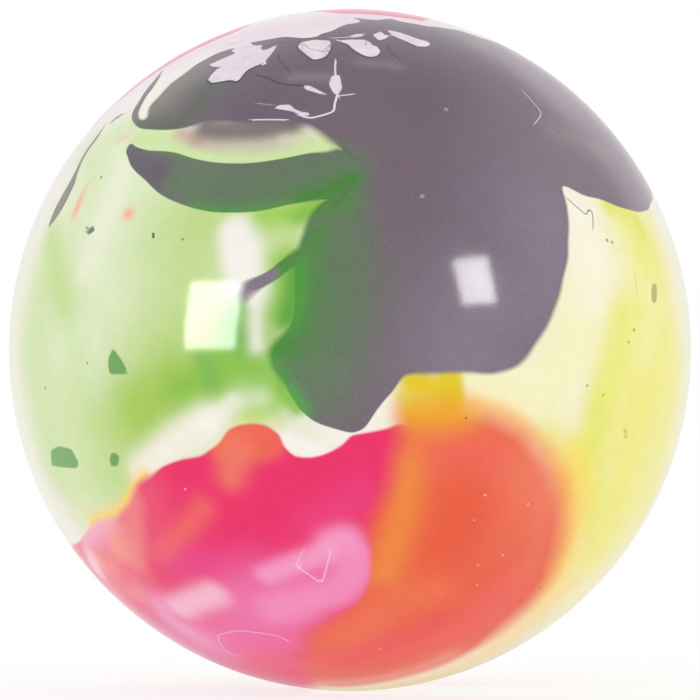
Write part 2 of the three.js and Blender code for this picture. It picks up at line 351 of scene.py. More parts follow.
# Magenta runs under the orange and out from behind it
magentaCharge = {
    "fill": "magenta",
    "washes": [
        ("rose", 3.2, 0.85, 2, [(146, 490), (152, 520), (158, 548)]),
        ("coral", 1.6, 0.60, 2, [(163, 556), (186, 530), (204, 508)]),
        ("salmonPink", 2.7, 0.92, 5, [(123, 498), (126, 530), (128, 560), (127, 585)]),
        ("peach", 3.2, 0.88, 2, [(106, 540), (118, 554), (124, 568)]),
        ("rose", 1.0, 0.40, 2, [(102, 544), (109, 553), (117, 564)]),
        ("rimPink", 1.6, 0.90, 2, [(82, 540), (92, 532), (100, 536)]),
        ("softPink", 1.4, 0.80, 2, [(88, 572), (104, 590), (116, 602)]),
        ("rose", 2.2, 0.85, 2, [(146, 582), (158, 600), (166, 615)]),
        ("hotPink", 2.6, 0.65, 2, [(182, 570), (215, 566), (258, 564)]),
        ("hotPink", 2.2, 0.45, 2, [(312, 522), (334, 512), (356, 496)]),
        ("pink", 5.5, 0.92, 2, [(172, 640), (225, 640), (280, 614)]),
        ("pink", 3.0, 0.80, 2, [(252, 596), (256, 620)]),
        ("softPink", 2.4, 0.90, 2, [(162, 606), (170, 618), (190, 632), (214, 644)]),
        ("palePink", 2.0, 0.95, 3, [(182, 608), (200, 602), (216, 597)]),
        ("pink", 3.0, 0.80, 2, [(290, 590), (330, 570)]),
        ("softPink", 1.5, 0.90, 3, [(268, 577), (296, 564), (330, 550)]),
        ("softPink", 2.0, 0.90, 3, [(334, 543), (346, 540), (354, 552)]),
        ("veilPink", 2.5, 0.95, 3, [(278, 612), (310, 601), (342, 590), (357, 566)]),
        ("warmPink", 2.2, 0.85, 2, [(228, 648), (262, 648), (286, 644)]),
        ("redPink", 2.0, 0.90, 2, [(262, 661), (292, 662), (312, 668)]),
        ("softPink", 1.2, 0.40, 2, [(196, 652), (240, 674), (280, 684)]),
        # painted highlight: a pale spot on the rim
        ("palePink", 1.5, 0.95, 3, [(90, 555), (95, 568)]),
        ("orange", 2.4, 1.0, 4, [(230, 446), (258, 441)]),
        ("coral", 1.7, 0.90, 2, [(232, 476), (236, 452)]),
        ("redCoral", 1.3, 0.70, 2, [(257, 436), (268, 447)]),
        ("palePink", 1.6, 0.65, 2, [(84, 536), (94, 530), (106, 521)]),
        ("peach", 1.6, 0.60, 2, [(97, 556), (102, 564)]),
        ("redPink", 1.5, 0.85, 2, [(128, 570), (119, 581), (112, 590)]),
    ],
    "rearWashes": [
        ("pink", 7.0, 0.90, 2, [(-92, 44), (-110, 42), (-140, 46), (-170, 52)]),
        ("hotPink", 5.0, 0.80, 2, [(-84, 58), (-40, 74), (40, 78), (110, 74)]),
        ("softPink", 3.0, 0.80, 2, [(-120, 54), (-160, 60), (160, 64)]),
        ("palePink", 2.2, 0.80, 3, [(-130, 64), (180, 72), (120, 80)]),
        ("redPink", 3.0, 0.80, 2, [(-70, 66), (-20, 78), (60, 74)]),
        ("palePink", 1.6, 0.90, 3, [(-100, 48), (-116, 52), (-128, 48)]),
        ("hotPink", 3.0, 0.70, 2, [(150, 60), (-176, 54), (-150, 50)]),
        ("softPink", 2.4, 0.80, 3, [(-98, -44), (-106, -52), (-102, -60)]),
    ],
    "outlines": [
        (0.22, onFace, [
            (80, 540), (88, 529), (100, 520), (116, 515), (126, 505), (132, 494), (139, 482),
            (150, 474), (164, 465), (180, 459), (200, 456), (210, 449), (219, 441), (228, 432),
            (242, 426), (256, 424), (268, 426), (278, 434), (284, 447), (296, 456), (312, 456),
            (328, 450), (342, 443), (352, 435), (366, 432), (386, 428), (406, 424), (424, 444),
            (430, 520), (410, 600), (370, 650), (330, 678), (308, 692), (322, 724), (296, 756),
            (254, 742), (214, 752), (172, 722), (132, 706), (116, 668), (86, 648), (58, 630),
            (40, 604), (46, 574), (62, 552),
        ]),
        (0.18, onFace, [
            (93, 126), (108, 110.4), (140, 83.7), (175, 60.4), (215, 40.2), (233, 32.7), (248, 25.8),
            (258, 21.5), (268, 18.1), (280, 14.5), (292, 12.1), (304, 11.1), (313, 11.2), (322, 11.6),
            (336, 13), (350, 13.4), (366, 13.8), (390, 15.8), (411, 18.6), (424, 20.2), (434, 14),
            (442, -6), (446, -36), (424, -82), (380, -122), (320, -132), (256, -116), (190, -112),
            (130, -84), (76, -26), (40, 30), (30, 84), (54, 120), (80, 132),
        ]),
    ],
    "softer": [
        (0.45, 1.2, [(92, 524), (116, 515), (132, 495), (146, 476)]),
        (1.5, 5.0, [(340, 676), (300, 692)]),
        (0.5, 4.0, [(46, 574), (40, 604), (86, 648), (132, 706), (214, 752), (296, 756)]),
    ],
}
orangeCharge = {
    "fill": "orangeRed",
    "washes": [
        ("orange", 4.0, 0.85, 2, [(430, 446), (470, 434), (515, 456), (545, 500)]),
        ("orange", 3.4, 0.90, 2, [(430, 594), (400, 602), (375, 620), (345, 642)]),
        ("salmon", 2.6, 0.35, 2, [(540, 480), (538, 540), (520, 576), (495, 605)]),
        ("redCoral", 3.0, 0.90, 2, [(310, 664), (350, 658), (400, 650), (455, 634), (500, 600)]),
        ("salmon", 1.5, 0.80, 2, [(310, 682), (400, 674), (450, 656)]),
        ("amber", 2.4, 0.75, 2, [(408, 466), (402, 520), (392, 552), (386, 570)]),
        ("redCoral", 2.6, 0.55, 2, [(446, 454), (468, 448), (490, 458)]),
        ("salmon", 3.0, 0.22, 2, [(512, 466), (512, 505), (498, 545)]),
        ("deepCoral", 2.0, 0.60, 2, [(345, 662), (400, 642), (445, 620)]),
        ("honey", 2.2, 0.95, 2, [(408, 406), (432, 410), (460, 406)]),
    ],
    "rearWashes": [
        ("orange", 9.0, 0.90, 3, [(-160, -44), (170, -46), (140, -48)]),
        ("orangeRed", 6.0, 0.90, 2, [(-172, -52), (160, -54)]),
        ("redCoral", 4.0, 0.85, 2, [(-150, -58), (180, -62), (140, -58)]),
        ("amber", 2.4, 0.80, 2, [(-142, -42), (-158, -36), (178, -32)]),
        ("honey", 1.8, 0.80, 2, [(-138, -42), (-150, -36)]),
    ],
    "outlines": [
        (0.35, onFace, [
            (398, 412), (398, 436), (394, 460), (386, 490), (374, 515), (368, 535), (371, 560),
            (369, 584), (356, 603), (334, 619), (311, 632), (302, 653), (306, 674), (320, 685),
            (345, 687), (389, 681), (436, 668), (472, 651), (502, 630), (530, 606), (549, 581),
            (562, 545), (566, 512), (562, 486), (549, 458), (525, 431.5), (492, 412.5), (464, 404.5),
            (434, 402), (412, 404),
        ]),
        (1.0, onBall, [
            (-168, -26), (-152, -30), (-140, -38), (-124, -42), (-120, -52), (-140, -64), (150, -68),
            (122, -54), (126, -42), (140, -38), (156, -36), (164, -29), (176, -24),
        ]),
    ],
    "softer": [
        (1.7, 6.0, [(470, 402), (500, 414), (526, 432)]),
        (2.2, 8.0, [(546, 454), (562, 480), (567, 515), (552, 578), (520, 612)]),
        (1.1, 5.0, [(490, 636), (440, 664), (389, 680), (320, 686)]),
        (1.4, 4.0, [(430, 402), (404, 406), (397, 424), (392, 470), (376, 512)]),
        (1.6, 4.0, [(316, 632), (303, 655), (308, 678)]),
    ],
}

# Grey with its green stains: the sharpest outlines of the cover
greyCharges = {
    "fill": "grey",
    "washes": [
        # painted shade: the grey made darker along the top
        ("darkGrey", 7.0, 0.90, 2, [(250, 98), (300, 72), (360, 64), (420, 82)]),
        ("midGrey", 8.0, 0.95, 2, [(470, 345), (505, 305), (545, 285), (540, 230)]),
        ("midGrey", 4.0, 0.25, 2, [(560, 150), (590, 165)]),
        ("lilacGrey", 8.4, 0.50, 6, [(571, 97), (612, 140), (634, 171), (652, 203)]),
        ("brownPink", 1.6, 0.15, 2, [(556, 130), (585, 145), (601, 152)]),
        ("lilacGrey", 3.0, 0.55, 2, [(480, 46), (520, 70), (560, 100)]),
        ("olive", 2.4, 0.95, 2, [(150, 110), (166, 92), (186, 76)]),
        ("warmGrey", 2.0, 0.90, 2, [(200, 66), (222, 56), (250, 48)]),
        ("darkMoss", 2.0, 0.85, 2, [(140, 126), (170, 126), (190, 110), (208, 90)]),
        ("greenGrey", 3.4, 1.0, 3, [(176, 178), (230, 188), (300, 178), (338, 168)]),
        ("purpleGrey", 2.5, 0.95, 2, [(127, 150), (137, 162), (154, 174)]),
        ("deepGreen", 1.2, 0.95, 2, [(194, 214), (225, 218), (262, 215), (304, 208), (330, 202)]),
        ("darkGreen", 1.1, 0.95, 2, [(304, 198), (326, 193), (348, 180)]),
        ("darkGreen", 1.2, 0.85, 2, [(314, 212), (322, 204), (332, 200)]),
        ("mossGreen", 1.8, 0.70, 2, [(334, 210), (346, 200)]),
        ("mossGreen", 0.35, 0.70, 2, [(146, 150), (186, 157), (236, 163), (300, 156)]),
        ("deepGreen", 2.2, 1.0, 3, [(296, 258), (296, 292), (286, 330), (270, 352)]),
        ("mossGreen", 3.6, 0.92, 2, [(316, 232), (322, 300), (308, 352)]),
        ("greenGrey", 3.6, 0.80, 2, [(340, 236), (352, 290), (342, 340), (318, 390)]),
        ("deepGreen", 1.2, 0.80, 2, [(297, 262), (298, 290), (292, 322)]),
        ("deepGreen", 1.1, 0.90, 2, [(278, 378), (288, 396), (298, 410)]),
        ("jadeGreen", 0.8, 0.40, 2, [(290, 390), (298, 406)]),
        ("darkGreen", 1.1, 0.50, 2, [(276, 344), (288, 348)]),
        ("midGrey", 0.9, 0.95, 3, [(244, 294), (262, 281), (272, 274)]),
        ("midGrey", 0.9, 0.60, 2, [(296, 76), (328, 76)]),
        ("midGrey", 0.8, 0.50, 2, [(360, 62), (395, 66)]),
        ("mossGreen", 1.0, 0.90, 3, [(286, 263), (300, 252), (318, 240)]),
        ("olive", 1.3, 1.0, 3, [(104, 126), (76, 176), (50, 224)]),
        ("brownEdge", 0.40, 0.50, 2, [(568, 212), (570, 240), (563, 285), (551, 322)]),
    ],
    "rearWashes": [
        ("midGrey", 7.0, 0.80, 2, [(140, 20), (160, 12)]),
        ("greenGrey", 3.0, 0.80, 2, [(112, 10), (116, -8), (130, -22)]),
        ("mossGreen", 1.6, 0.70, 2, [(109, 4), (114, -12), (126, -24)]),
        ("lilacGrey", 4.0, 0.80, 2, [(84, 30), (98, 38), (106, 48)]),
        ("darkGrey", 5.0, 0.70, 2, [(124, 16), (140, 22)]),
        ("deepGreen", 1.2, 0.90, 2, [(108, 2), (113, -11), (121, -23), (130, -30)]),
        ("darkGreen", 1.0, 0.80, 2, [(150, -6), (158, 2), (172, -1), (188, 2)]),
        ("mossGreen", 1.4, 0.85, 2, [(186, -13), (200, -17), (214, -25)]),
    ],
    "outlines": [
        (0.10, onFace, [
            (165, 67.5), (150, 84.5), (140, 98.5), (133, 110), (131.5, 119), (135, 125.5), (142, 129),
            (158, 130), (176, 128.5), (200, 124), (228, 123), (258, 124), (288, 125), (307, 127),
            (318, 133), (328, 140), (341, 148), (352, 158), (356, 172), (352, 184), (340, 194),
            (324, 200), (312, 214), (303, 232), (297, 250), (295, 266), (294, 300), (290, 324),
            (274, 341), (268, 356), (274, 372), (285, 384), (292, 397), (302, 410), (318, 421),
            (338, 429), (353, 432), (365, 427), (376, 413), (389, 394), (406, 376), (436, 375),
            (463, 374), (496, 373), (514, 367), (527, 356), (540, 338), (551, 319), (560, 294),
            (567, 263), (569, 233), (568, 208), (562, 189), (566, 187), (584, 195), (613.6, 205.1),
            (625.2, 208.3), (633.9, 209.4), (640.9, 211.5), (645.5, 210), (649.6, 206.8),
            (651.7, 202.8), (651.8, 195.4), (653.7, 187), (690, 140), (702, 82), (664, 8), (604, -34),
            (560, -12), (512, 30), (496, 42), (480, 37), (462, 31.2), (446, 28), (428, 26),
            (414, 23.5), (400, 21), (390, 18.5), (374, 19.5), (352, 17.4), (360, 20.3), (356, 22.4),
            (347, 23.8), (340, 26), (331, 30.4), (321, 33.4), (315, 36.2), (302, 37.6), (284, 36.8),
            (271, 39), (260, 40.7), (250, 42.5), (243, 46), (234, 47.4), (224, 50.4), (214, 54.3),
            (204.6, 59.5), (195, 65), (183, 74), (170, 84), (159, 95.5), (150, 105.4), (147.5, 115),
            (145.5, 118.6), (141.8, 119.4), (138.6, 116.8), (139.4, 108.7), (145, 97.3), (154, 86),
            (163, 71),
        ]),
        (0.08, onFace, [
            (130.4, 143), (125.6, 151), (127.2, 157.5), (131.3, 165.6), (139.4, 176.2), (150, 185),
            (164, 195), (180, 203.5), (196, 209.3), (216, 212.7), (237, 212.7), (258, 210.3),
            (278, 207), (302, 203), (320, 199.5), (342, 199), (362, 190), (366, 172), (356, 154),
            (338, 147.7), (326, 151), (310, 152.6), (294, 155.8), (278, 159), (261, 161.5),
            (242, 162.7), (221, 162.3), (204, 160.7), (188, 157.5), (175, 153.4), (164, 151),
            (147.5, 149.3), (136, 147),
        ]),
        (0.10, onFace, [
            (237, 296), (244, 283), (266, 270), (291, 253), (312, 236), (326, 232), (318, 250),
            (297, 264), (270, 281), (256, 293), (246, 301),
        ]),
        (0.08, onFace, [
            (107.5, 120), (98, 133.4), (86, 149.5), (76.5, 168), (67.5, 185), (57, 204), (51.5, 215.8),
            (48.5, 227), (56.5, 217), (64.4, 204), (72.8, 186), (78.6, 169.4), (87.6, 150.8),
            (99.2, 134.6),
        ]),
        (0.18, onBall, [
            (108, 4), (110, 14), (117, 23), (128, 28), (141, 28), (153, 23), (162, 15), (172, 9),
            (184, 7), (196, 10), (207, 17), (196, 5), (184, 0), (172, -1.5), (162, 1), (155, 0),
            (150, -6), (146, -15), (139, -24), (130, -28), (121, -22), (113, -11),
        ]),
        (0.15, onBall, [
            (184, -11), (196, -13), (206, -18), (215, -26), (205, -22), (195, -17.5), (186, -15),
        ]),
    ],
    "softer": [
        (0.60, 1.5, [(205, 124), (250, 126), (300, 127), (330, 141)]),
        (0.30, 1.2, [(148, 112), (160, 94), (184, 73)]),
        (0.30, 3.0, [(560, 294), (530, 352), (490, 374), (430, 376)]),
        (0.15, 3.0, [(569, 215), (566, 265)]),
        (0.35, 1.6, [(312, 214), (303, 232), (298, 248)]),
        (0.45, 2.0, [(274, 341), (268, 356), (274, 372)]),
        (0.80, 1.4, [(236, 300), (244, 293)]),
    ],
}

# Chips lie in the pale ground, flakes on the grey. A flake is raised, and its pale colour is a painted
# reflection of light from above
chips = {
    "softness": 0.12,  # mm
    "shapes": [
        ("chipGreen", [
            (113, 348), (108, 358), (108, 368), (110, 374), (125, 374), (128, 372), (122, 361),
        ]),
        ("chipGreen", [
            (51, 450), (59, 446), (71, 449), (76, 458), (79, 464), (76, 468), (61, 467), (51, 465),
        ]),
        ("chipGreen", [(111, 453), (118, 453), (119, 460), (117, 466), (111, 466), (109, 459)]),
        ("darkChip", [
            (86, 225.5), (89.5, 228.5), (92.5, 225), (95.5, 229.5), (92, 232), (89, 234.8),
            (85.5, 231.5),
        ]),
        ("oliveChip", [(652, 284), (656, 283), (657, 292), (656, 302), (652, 303), (651, 293)]),
        ("limeChip", [(623, 429), (626, 428), (628, 434), (627, 440), (624, 437)]),
    ],
    "rearShapes": [
        ("chipGreen", [(-124, -13.5), (-121.5, -12.5), (-119.8, -15.5), (-122, -18), (-125.5, -17)]),
        ("chipGreen", [(-143, -20), (-139, -18), (-136, -19.5), (-136.8, -22.4), (-142.5, -23)]),
        ("darkChip", [(-132, 22.4), (-129.5, 24.2), (-127.6, 22.4), (-129.4, 20.2)]),
        ("oliveChip", [(100.8, -7.6), (102.8, -7), (103.4, -10.4), (102, -13), (100.4, -10.4)]),
        ("limeChip", [(111.6, -31.6), (113.8, -30.6), (114.4, -34), (112.4, -35)]),
    ],
}
flakes = {
    "softness": 0.09,  # mm
    "rise": 0.02,  # mm above the ball's face
    "shapes": [
        [
            (207.4, 80.5), (212, 73.5), (216.7, 69), (222.4, 65.6), (217.3, 66.8), (212.2, 66.2),
            (208.7, 64.2), (213.5, 62.5), (223, 58.2), (235, 53), (231.4, 50.8), (235, 47.2),
            (239, 41), (246, 38), (250, 42.5), (253.7, 45.4), (262.3, 44.8), (260.7, 48), (262, 50.2),
            (268.3, 48.6), (273.4, 46), (277.5, 44), (274, 50), (269.6, 55.6), (265.2, 60.7),
            (266.3, 63.3), (262.6, 65.2), (259.4, 64.5), (254.3, 66.5), (247.3, 70.3), (242.8, 75.4),
            (239.6, 79.5), (235.2, 81.8), (230.7, 80.2), (219.2, 81.8), (211, 83),
        ],
        [
            (297.2, 47), (299.6, 43.3), (302.4, 41.8), (314, 39.5), (329.2, 40.4), (331.2, 44.2),
            (331, 48), (327.3, 54.8), (321.6, 58.1), (313, 59.5), (308.2, 56.7), (302.4, 52),
        ],
        [
            (332, 38.4), (339.8, 40), (347.4, 39.4), (364.6, 39.5), (370.4, 42.3), (372.3, 45.2),
            (377, 46.2), (380.4, 51), (378, 54.8), (371.3, 56.7), (364.6, 55.7), (357, 52),
            (351.2, 48), (347.4, 44.2), (342.6, 43), (339.8, 41.4),
        ],
        [
            (387.4, 29.8), (393.3, 30.8), (400, 32.3), (409.6, 35.6), (417.3, 38.5), (427.8, 41.4),
            (430.2, 43.8), (426, 46.6), (417.3, 46), (409.6, 42.8), (400, 38.5), (391.4, 34.7),
        ],
        [
            (372.3, 34.8), (380.4, 31.3), (384.7, 34.7), (390.5, 34.6), (384.7, 38.5), (378, 40),
            (375.2, 36.6),
        ],
        [(347.4, 36.7), (356, 33.7), (365.6, 33.7), (360.8, 36.2), (353.2, 37.2)],
        [
            (331.3, 76), (335.4, 74.8), (339.4, 75.3), (341.9, 87.5), (337.8, 95), (332.9, 92.4),
            (328.9, 84.3),
        ],
        [
            (273.6, 108), (279.3, 105), (289.8, 104.5), (294, 108.7), (302, 112), (308.5, 112.2),
            (309.3, 115.2), (300.4, 115.6), (292.3, 111.2), (282.5, 109.6),
        ],
        [(303.6, 85), (310.2, 85.9), (318.3, 90), (328, 94.8), (320, 93.7), (305.3, 89.3)],
    ],
}

# Thin lines: (half width in mm, strength, places)
darkLines = [
    (0.07, 0.80, [(568, 199), (578, 208), (586, 214), (588, 210), (592, 212), (593, 229)]),
    # painted shadows: this line and the next four run along the flakes' lower edges
    (0.16, 0.85, [
        (207.2, 80.5), (211, 83.3), (219, 82.2), (230.7, 80.6), (235.2, 82.2), (239.8, 79.8),
        (243, 75.6), (247.5, 70.6), (254.3, 66.8), (259.5, 64.9),
    ]),
    (0.14, 0.70, [
        (298.5, 44), (296.9, 47.2), (302.2, 52.3), (308.2, 57), (313, 59.9), (321.6, 58.5),
        (327.6, 55), (331.4, 48), (331.5, 44),
    ]),
    (0.14, 0.75, [
        (340, 41.7), (347.2, 44.6), (351, 48.4), (356.8, 52.4), (364.5, 56.1), (371.3, 57.1),
    ]),
    (0.11, 0.45, [(378.2, 55.1), (380.8, 51), (377.3, 46)]),
    (0.12, 0.45, [(400, 38.9), (409.5, 43.2), (417.2, 46.4), (426, 47)]),
    (0.09, 0.35, [(303.4, 43.3), (309.1, 48.1), (321.6, 50.9)]),
    (0.09, 0.35, [(322.5, 51.9), (326.4, 48.1), (329.7, 43.3)]),
    (0.09, 0.40, [(365.6, 37), (366, 40), (365.6, 44.2)]),
    (0.10, 0.40, [(227, 45), (231, 43), (236, 43)]),
    (0.13, 0.80, [(256.5, 74.5), (268, 78), (277.6, 82.6), (290.6, 84.8), (303, 85.2)]),
    (0.11, 0.60, [(278, 53.7), (279.8, 60.7), (285.6, 66.5), (289.4, 71)]),
    # painted shadow beside a flake
    (0.11, 0.50, [(387, 44), (390, 51), (399, 59)]),
    (0.05, 0.40, [(341, 147), (349, 152), (355.7, 159)]),
    (0.05, 0.40, [(349.2, 188.4), (342, 197), (333.7, 204.6)]),
    (0.05, 0.30, [
        (163.4, 169.7), (162, 173), (158.9, 174.2), (155.8, 173), (154.4, 169.7), (155.8, 166.5),
        (158.9, 165.2), (162, 166.5), (163.4, 169.7),
    ]),
    (0.27, 0.75, [(111.5, 121.5), (116, 117.5), (120.5, 115)]),
    (0.09, 0.30, [(549, 125), (570, 139), (591, 153), (603, 166)]),
    (0.10, 0.40, [(262, 47), (275, 43.5), (290, 41.5), (299, 41)]),
    (0.09, 0.35, [(282, 60), (286, 69), (293, 76)]),
    (0.06, 0.30, [(634, 274), (637, 294)]),
]
rearDarkLines = [
    (0.10, 0.60, [(-151, 27), (-147, 25), (-145, 26.6), (-141, 25)]),
    (0.10, 0.50, [(106, -14), (107.4, -19), (106.4, -23)]),
]
paleLines = [
    (0.07, 0.60, [(522, 90), (533, 102), (541, 113), (535, 123)]),
    (0.11, 0.80, [(335.2, 75), (335, 66), (335.6, 60)]),
    (0.12, 0.90, [
        (337, 95), (334.5, 103.8), (332.9, 111), (321.5, 115.2), (310, 117.6), (300.4, 115.4),
    ]),
    (0.10, 0.70, [(337.5, 95.8), (351.6, 94)]),
    (0.10, 0.80, [(252.4, 119.7), (285.8, 119.7)]),
    (0.10, 0.80, [(397, 19.6), (412, 22.4), (428, 26)]),
    (0.10, 0.60, [(332, 37.6), (340, 37.2), (348, 36.8)]),
    (0.10, 0.60, [(512, 53), (525, 58)]),
    (0.08, 0.25, [(257, 103), (272, 105)]),
    # painted reflections: this line and the next three outline two bright squares mirrored low on the
    # ball
    (0.08, 0.50, [(217, 635), (230, 632), (243.5, 631), (274, 635), (288, 641)]),
    (0.08, 0.45, [(217, 635), (221, 645), (228, 652.4), (236, 655)]),
    (0.10, 0.45, [(295.5, 565.7), (308, 574), (321, 582), (326, 568), (330.2, 552.4)]),
    (0.08, 0.35, [(295.5, 565.7), (302.7, 550.4)]),
]
rearPaleLines = [
    (0.11, 0.70, [(140, 2), (145, -1), (146, -6), (142, -10)]),
    (0.09, 0.40, [(132, 17), (138, 19.6), (146, 18)]),
    (0.10, 0.45, [(-166, 58), (-152, 55), (-142, 58)]),
]

# Specks: (radius in mm, shade, strength, places)
specks = [
    (0.14, "ink", 0.6, [(115, 118), (603, 395), (540, 587), (466, 418)]),
    (0.16, "ink", 0.6, [(182.5, 239), (87, 363), (628.5, 342), (587, 385.5)]),
    (0.18, "ink", 0.7, [(612, 242), (634, 329.5)]),
    (0.18, "ink", 0.8, [(100.8, 177)]),
    (0.18, "ink", 0.9, [(152.8, 234), (153.2, 236.5)]),
    (0.20, "ink", 0.6, [(45, 388)]),
    (0.20, "ink", 0.7, [(607, 240)]),
    (0.24, "tan", 0.4, [(446, 109), (422, 196)]),
    (0.10, "milk", 0.45, [(474, 520)]),
    (0.11, "milk", 0.45, [(478, 565), (477, 585)]),
    (0.13, "milk", 0.45, [(528, 504), (503, 555)]),
    (0.13, "milk", 0.5, [(185, 489)]),
    (0.14, "milk", 0.45, [(380, 649)]),
    (0.14, "milk", 0.5, [(485, 495)]),
]
rearSpecks = [
    (0.16, "ink", 0.6, [(-114, -6), (108, -26)]),
    (0.18, "ink", 0.6, [(-170, -14), (170, 32)]),
    (0.20, "ink", 0.7, [(-106, 8), (-158, 30), (96, -4)]),
    (0.24, "tan", 0.5, [(138, -12)]),
    (0.14, "milk", 0.5, [(166, -44), (150, -52)]),
    (0.16, "milk", 0.5, [(-160, -46), (-126, 42)]),
]

farOutside = -60.0  # half widths outside any outline
farAway = 9.0  # mm from any line
lineFades = (0.30, 0.55)  # mm from a line over which it runs out


def placed(front, rear):
    # rows whose last item is points, in pixels or in degrees, with those points put on the ball
    rows = [(*row[:-1], onFace(row[-1])) for row in front]
    return rows + [(*row[:-1], onBall(row[-1])) for row in rear]


def coatOf(charge):
    # each wash covers what lies under it by strength * exp(-(distance / width) ** firmness)
    coat = np.tile(shadeOf(charge["fill"]), (len(outward), 1))
    for shade, width, strength, firmness, way in placed(charge["washes"], charge["rearWashes"]):
        away = nearestTo(curveThrough(way, False, 3), softPlaces)[0]
        share = strength * np.exp(-((away / width) ** firmness))
        coat = coat + share[:, None] * (shadeOf(shade) - coat)
    return coat


def edgeOf(charge):
    # depth inside the nearest outline, counted in half widths of its soft edge
    edge = np.full(len(outward), farOutside)
    softer = np.zeros(len(outward))
    for extra, reach, points in charge["softer"]:
        away = nearestTo(curveThrough(onFace(points), False), outward)[0]
        softer = np.maximum(softer, extra * np.exp(-((away / reach) ** 2)))
    for softness, where, points in charge["outlines"]:
        edge = np.maximum(edge, depthIn(where(points), edgePlaces) / (softness + softer))
    return edge


def marksOf(outlines, softness):
    # the same for small marks with nearly straight sides, and which of them is the nearest
    edge = np.full(len(outward), farOutside)
    owner = np.zeros(len(outward), int)
    for number, outline in enumerate(outlines):
        depth = depthIn(outline, outward, margin=3.0, pull=0.1) / softness
        owner[depth > edge] = number
        edge = np.maximum(edge, depth)
    return edge, owner


def linesOf(lines):
    # signed distance in half widths from the nearest line, and how strongly that line shows
    least = np.full(len(outward), farAway)
    across, shows = least.copy(), np.zeros(len(outward))
    fadeStart, fadeEnd = lineFades
    for halfWidth, strength, way in lines:
        away, side = nearestTo(curveThrough(way, False), outward)
        closer = away < least
        least[closer] = away[closer]
        across[closer] = side[closer] / halfWidth
        shows[closer] = strength * np.clip((fadeEnd - away[closer]) / (fadeEnd - fadeStart), 0, 1)
    return across, shows


flakeEdge, _ = marksOf([onFace(points) for points in flakes["shapes"]], flakes["softness"])
chipRows = placed(chips["shapes"], chips["rearShapes"])
chipEdge, chipOwner = marksOf([outline for _, outline in chipRows], chips["softness"])
chipShades = np.array([shadeOf(shade) for shade, _ in chipRows])
darkAcross, darkShows = linesOf(placed(darkLines, rearDarkLines))
paleAcross, paleShows = linesOf(placed(paleLines, rearPaleLines))
coverValues = {
    "magentaEdge": edgeOf(magentaCharge),
    "orangeEdge": edgeOf(orangeCharge),
    "greyEdge": edgeOf(greyCharges),
    "chipEdge": chipEdge,
    "flakeEdge": flakeEdge,
    "darkAcross": darkAcross,
    "darkShows": darkShows,
    "paleAcross": paleAcross,
    "paleShows": paleShows,
}
coverCoats = {
    "paleCoat": coatOf(paleGround),
    "magentaCoat": coatOf(magentaCharge),
    "orangeCoat": coatOf(orangeCharge),
    "greyCoat": coatOf(greyCharges),
    "chipCoat": chipShades[chipOwner],
}
print("marbling worked out:", len(coverCoats), "coats,", len(coverValues), "edges and lines")

sharpFrom = 40  # degrees between two faces from which their edge stays sharp


def closedSkin(start, rows, end):
    # rows of a grid that closes on itself, and a pole before and after them
    count, turns = rows.shape[:2]
    points = np.concatenate([start, rows.reshape(-1, 3), end])
    here = 1 + np.arange(count * turns).reshape(count, turns)
    beside = np.roll(here, -1, 1)
    quads = np.stack([here[:-1], here[1:], beside[1:], beside[:-1]], -1).reshape(-1, 4)
    first, last = np.zeros(turns, int), np.full(turns, len(points) - 1)
    fans = np.concatenate([
        np.stack([first, here[0], beside[0]], 1),
        np.stack([here[-1], last, beside[-1]], 1),
    ])
    return points, quads, fans


def makePiece(name, skins, replaced, finish):
    points, faces, offset = [], [], 0
    for skin, quads, fans in skins:
        points.append(skin)
        faces += (quads + offset).tolist() + (fans + offset).tolist()
        offset += len(skin)
    mesh = bpy.data.meshes.new(name)
    mesh.from_pydata(np.concatenate(points).tolist(), [], faces)
    mesh.polygons.foreach_set("use_smooth", np.ones(len(mesh.polygons), bool))
    mesh.set_sharp_from_angle(angle=math.radians(sharpFrom))
    mesh.materials.append(finish)
    piece = bpy.data.objects.new(name, mesh)
    bpy.context.scene.collection.objects.link(piece)
    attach(piece, "root")
    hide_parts(*replaced)
    print("made", name, "with", len(faces), "faces")
    return piece


def mathNode(operation, reflected=False):
    def apply(self, other):
        pair = (other, self) if reflected else (self, other)
        return self.nodes.add("ShaderNodeMath", {"operation": operation}, dict(enumerate(pair)))
    return apply


class Socket:
    # an output of a node, on which + - * add Math nodes
    __add__ = mathNode("ADD")
    __radd__ = mathNode("ADD", True)
    __sub__ = mathNode("SUBTRACT")
    __rsub__ = mathNode("SUBTRACT", True)
    __mul__ = mathNode("MULTIPLY")
    __rmul__ = mathNode("MULTIPLY", True)

    def __init__(self, nodes, output):
        self.nodes = nodes
        self.output = output


